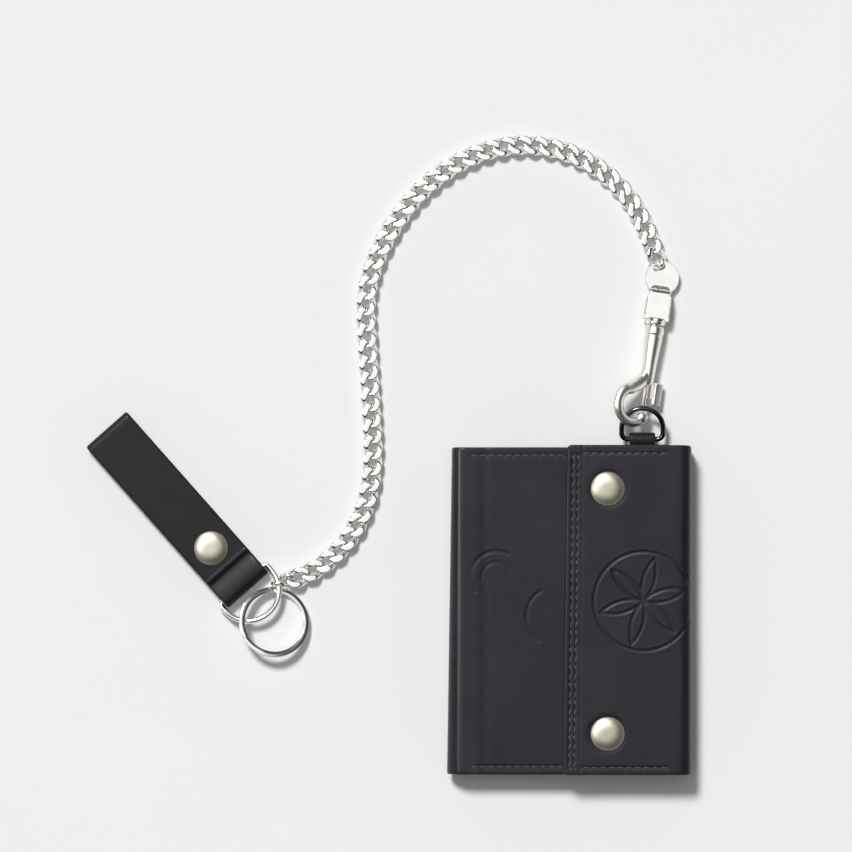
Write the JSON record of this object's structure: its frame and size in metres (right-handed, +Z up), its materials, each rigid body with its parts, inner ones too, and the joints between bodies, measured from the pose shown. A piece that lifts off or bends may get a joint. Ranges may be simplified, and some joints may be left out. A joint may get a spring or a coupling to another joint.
{
  "type": "chain wallet",
  "caption": "Trifold leather wallet with press snaps, a D-ring, a swivel bolt snap, a curb chain, a key ring and a snap-closed belt strap.",
  "frame": {"origin": "centre of the closed wallet's back face, which lies on the table", "axes": "+Z up out of the back face; +Y along the folds, towards the D-ring; +X across the folds, towards the flap's fold"},
  "size_m": [0.2131, 0.2245, 0.016],
  "materials": {
    "black_leather": "semi-gloss, fine grain",
    "strap_leather": "semi-gloss, smooth, dyed edges",
    "cloth_lining": "matt woven lining",
    "bright_nickel": "polished nickel plate",
    "satin_nickel": "satin nickel plate",
    "black_nickel": "polished black nickel plate",
    "spring_steel": "bright drawn wire"
  },
  "bodies": {
    "back": {"back_shell": "black_leather", "back_lining": "cloth_lining", "inner_panel": "black_leather", "centre_pocket_1": "black_leather", "centre_pocket_2": "black_leather", "centre_pocket_3": "black_leather", "ring_tab": "black_leather"},
    "left_spine": {"left_spine": "black_leather"},
    "leaf": {"leaf_shell": "black_leather", "leaf_lining": "black_leather", "leaf_pocket_1": "black_leather", "leaf_pocket_2": "black_leather", "snap_studs": "satin_nickel", "stud_rivets": "satin_nickel"},
    "right_spine": {"right_spine": "black_leather"},
    "flap": {"flap_shell": "black_leather", "flap_lining": "cloth_lining", "snap_caps": "satin_nickel", "snap_sockets": "satin_nickel"},
    "wallet_ring": {"wallet_ring": "black_nickel"},
    "hook": {"hook_body": "bright_nickel", "bolt_spring": "spring_steel"},
    "bolt": {"hook_bolt": "bright_nickel"},
    "eye": {"swivel_eye": "bright_nickel"},
    "disc": {"end_disc": "bright_nickel"},
    "chain_1": {"chain_1": "bright_nickel"},
    "chain_2": {"chain_2": "bright_nickel"},
    "chain_3": {"chain_3": "bright_nickel"},
    "chain_4": {"chain_4": "bright_nickel"},
    "chain_5": {"chain_5": "bright_nickel"},
    "chain_6": {"chain_6": "bright_nickel"},
    "chain_7": {"chain_7": "bright_nickel"},
    "chain_8": {"chain_8": "bright_nickel"},
    "chain_9": {"chain_9": "bright_nickel"},
    "chain_10": {"chain_10": "bright_nickel"},
    "chain_11": {"chain_11": "bright_nickel"},
    "chain_12": {"chain_12": "bright_nickel"},
    "chain_13": {"chain_13": "bright_nickel"},
    "chain_14": {"chain_14": "bright_nickel"},
    "chain_15": {"chain_15": "bright_nickel"},
    "chain_16": {"chain_16": "bright_nickel"},
    "belt_ring": {"belt_ring": "bright_nickel"},
    "key_ring": {"key_ring": "bright_nickel"},
    "strap": {"strap_back": "strap_leather", "belt_stud": "satin_nickel", "belt_rivet": "satin_nickel"},
    "strap_front": {"strap_front": "strap_leather", "belt_cap": "satin_nickel", "belt_socket": "satin_nickel"}
  },
  "joints": [
    {"name": "flap_fold", "type": "hinge", "parent": "back", "child": "right_spine", "pos_m": [0.03425, 0, 0], "axis": [0, 1, 0], "range_deg": [0, 88]},
    {"name": "flap_top_fold", "type": "hinge", "parent": "right_spine", "child": "flap", "pos_m": [0.03425, 0, 0.0145], "axis": [0, 1, 0], "range_deg": [0, 88]},
    {"name": "leaf_fold", "type": "hinge", "parent": "back", "child": "left_spine", "pos_m": [-0.0357, 0, 0], "axis": [0, -1, 0], "range_deg": [0, 22]},
    {"name": "leaf_top_fold", "type": "hinge", "parent": "left_spine", "child": "leaf", "pos_m": [-0.0357, 0, 0.0116], "axis": [0, -1, 0], "range_deg": [0, 22]},
    {"name": "ring_pivot", "type": "hinge", "parent": "back", "child": "wallet_ring", "pos_m": [0.0255, 0.06035, 0.005], "axis": [1, 0, 0], "range_deg": [-10, 60]},
    {"name": "hook_tilt", "type": "hinge", "parent": "wallet_ring", "child": "hook", "pos_m": [0.0275, 0.07124, 0.00761], "axis": [1, 0, 0], "range_deg": [-15, 3]},
    {"name": "bolt_slide", "type": "slide", "parent": "hook", "child": "bolt", "axis": [0.1474, 0.9866, -0.0698], "range_m": [0, 0.0055], "stiffness_N_per_m": 150, "springref_m": -0.003, "deforming": ["bolt_spring"]},
    {"name": "eye_swivel", "type": "hinge", "parent": "hook", "child": "eye", "pos_m": [0.03004, 0.10008, 0.00376], "axis": [0.1474, 0.9866, -0.0698], "continuous": true},
    {"name": "disc_pivot", "type": "hinge", "parent": "eye", "child": "disc", "pos_m": [0.03201, 0.11325, 0.00283], "axis": [0.989, -0.1478, 0], "range_deg": [-12, 4]},
    {"name": "chain_joint_1", "type": "hinge", "parent": "disc", "child": "chain_1", "pos_m": [0.0315, 0.12104, 0.00255], "axis": [0, 0, 1], "range_deg": [-8, 2.5]},
    {"name": "chain_joint_2", "type": "hinge", "parent": "chain_1", "child": "chain_2", "pos_m": [0.02548, 0.1374, 0.00245], "axis": [0, 0, 1], "range_deg": [-8, 2.5]},
    {"name": "chain_joint_3", "type": "hinge", "parent": "chain_2", "child": "chain_3", "pos_m": [0.01575, 0.15112, 0.00245], "axis": [0, 0, 1], "range_deg": [-8, 2.5]},
    {"name": "chain_joint_4", "type": "hinge", "parent": "chain_3", "child": "chain_4", "pos_m": [0.00176, 0.16041, 0.00245], "axis": [0, 0, 1], "range_deg": [-8, 2.5]},
    {"name": "chain_joint_5", "type": "hinge", "parent": "chain_4", "child": "chain_5", "pos_m": [-0.01466, 0.16399, 0.00245], "axis": [0, 0, 1], "range_deg": [-8, 2.5]},
    {"name": "chain_joint_6", "type": "hinge", "parent": "chain_5", "child": "chain_6", "pos_m": [-0.03125, 0.16137, 0.00245], "axis": [0, 0, 1], "range_deg": [-8, 2.5]},
    {"name": "chain_joint_7", "type": "hinge", "parent": "chain_6", "child": "chain_7", "pos_m": [-0.04607, 0.15333, 0.00245], "axis": [0, 0, 1], "range_deg": [-8, 2.5]},
    {"name": "chain_joint_8", "type": "hinge", "parent": "chain_7", "child": "chain_8", "pos_m": [-0.05806, 0.14147, 0.00245], "axis": [0, 0, 1], "range_deg": [-8, 2.5]},
    {"name": "chain_joint_9", "type": "hinge", "parent": "chain_8", "child": "chain_9", "pos_m": [-0.06686, 0.12705, 0.00245], "axis": [0, 0, 1], "range_deg": [-8, 2.5]},
    {"name": "chain_joint_10", "type": "hinge", "parent": "chain_9", "child": "chain_10", "pos_m": [-0.07156, 0.11088, 0.00245], "axis": [0, 0, 1], "range_deg": [-8, 2.5]},
    {"name": "chain_joint_11", "type": "hinge", "parent": "chain_10", "child": "chain_11", "pos_m": [-0.07136, 0.09398, 0.00245], "axis": [0, 0, 1], "range_deg": [-8, 2.5]},
    {"name": "chain_joint_12", "type": "hinge", "parent": "chain_11", "child": "chain_12", "pos_m": [-0.07036, 0.07706, 0.00245], "axis": [0, 0, 1], "range_deg": [-8, 2.5]},
    {"name": "chain_joint_13", "type": "hinge", "parent": "chain_12", "child": "chain_13", "pos_m": [-0.06944, 0.06014, 0.00245], "axis": [0, 0, 1], "range_deg": [-8, 2.5]},
    {"name": "chain_joint_14", "type": "hinge", "parent": "chain_13", "child": "chain_14", "pos_m": [-0.07058, 0.04328, 0.00245], "axis": [0, 0, 1], "range_deg": [-8, 2.5]},
    {"name": "chain_joint_15", "type": "hinge", "parent": "chain_14", "child": "chain_15", "pos_m": [-0.07663, 0.0276, 0.00245], "axis": [0, 0, 1], "range_deg": [-8, 2.5]},
    {"name": "chain_joint_16", "type": "hinge", "parent": "chain_15", "child": "chain_16", "pos_m": [-0.08822, 0.01552, 0.00252], "axis": [0, 0, 1], "range_deg": [-8, 2.5]},
    {"name": "belt_ring_pivot", "type": "hinge", "parent": "chain_16", "child": "belt_ring", "pos_m": [-0.1027, 0.00971, 0.00405], "axis": [0, 0, 1], "range_deg": [-8, 6]},
    {"name": "key_ring_turn", "type": "hinge", "parent": "belt_ring", "child": "key_ring", "pos_m": [-0.10428, -0.00413, 0.00434], "axis": [0.2171, 0.1696, 0.9613], "continuous": true},
    {"name": "strap_pivot", "type": "hinge", "parent": "belt_ring", "child": "strap", "pos_m": [-0.11526, 0.00932, 0.003], "axis": [0.749, 0.6626, 0], "range_deg": [-10, 60]},
    {"name": "strap_fold", "type": "hinge", "parent": "strap", "child": "strap_front", "pos_m": [-0.1635, 0.06384, 0.00225], "axis": [-0.749, -0.6626, 0], "range_deg": [0, 178]}
  ],
  "couplings": [
    {"joint": "flap_top_fold", "follows": "flap_fold", "ratio": 1},
    {"joint": "leaf_fold", "follows": "flap_fold", "ratio": 0.25},
    {"joint": "leaf_top_fold", "follows": "flap_fold", "ratio": 0.25}
  ]
}
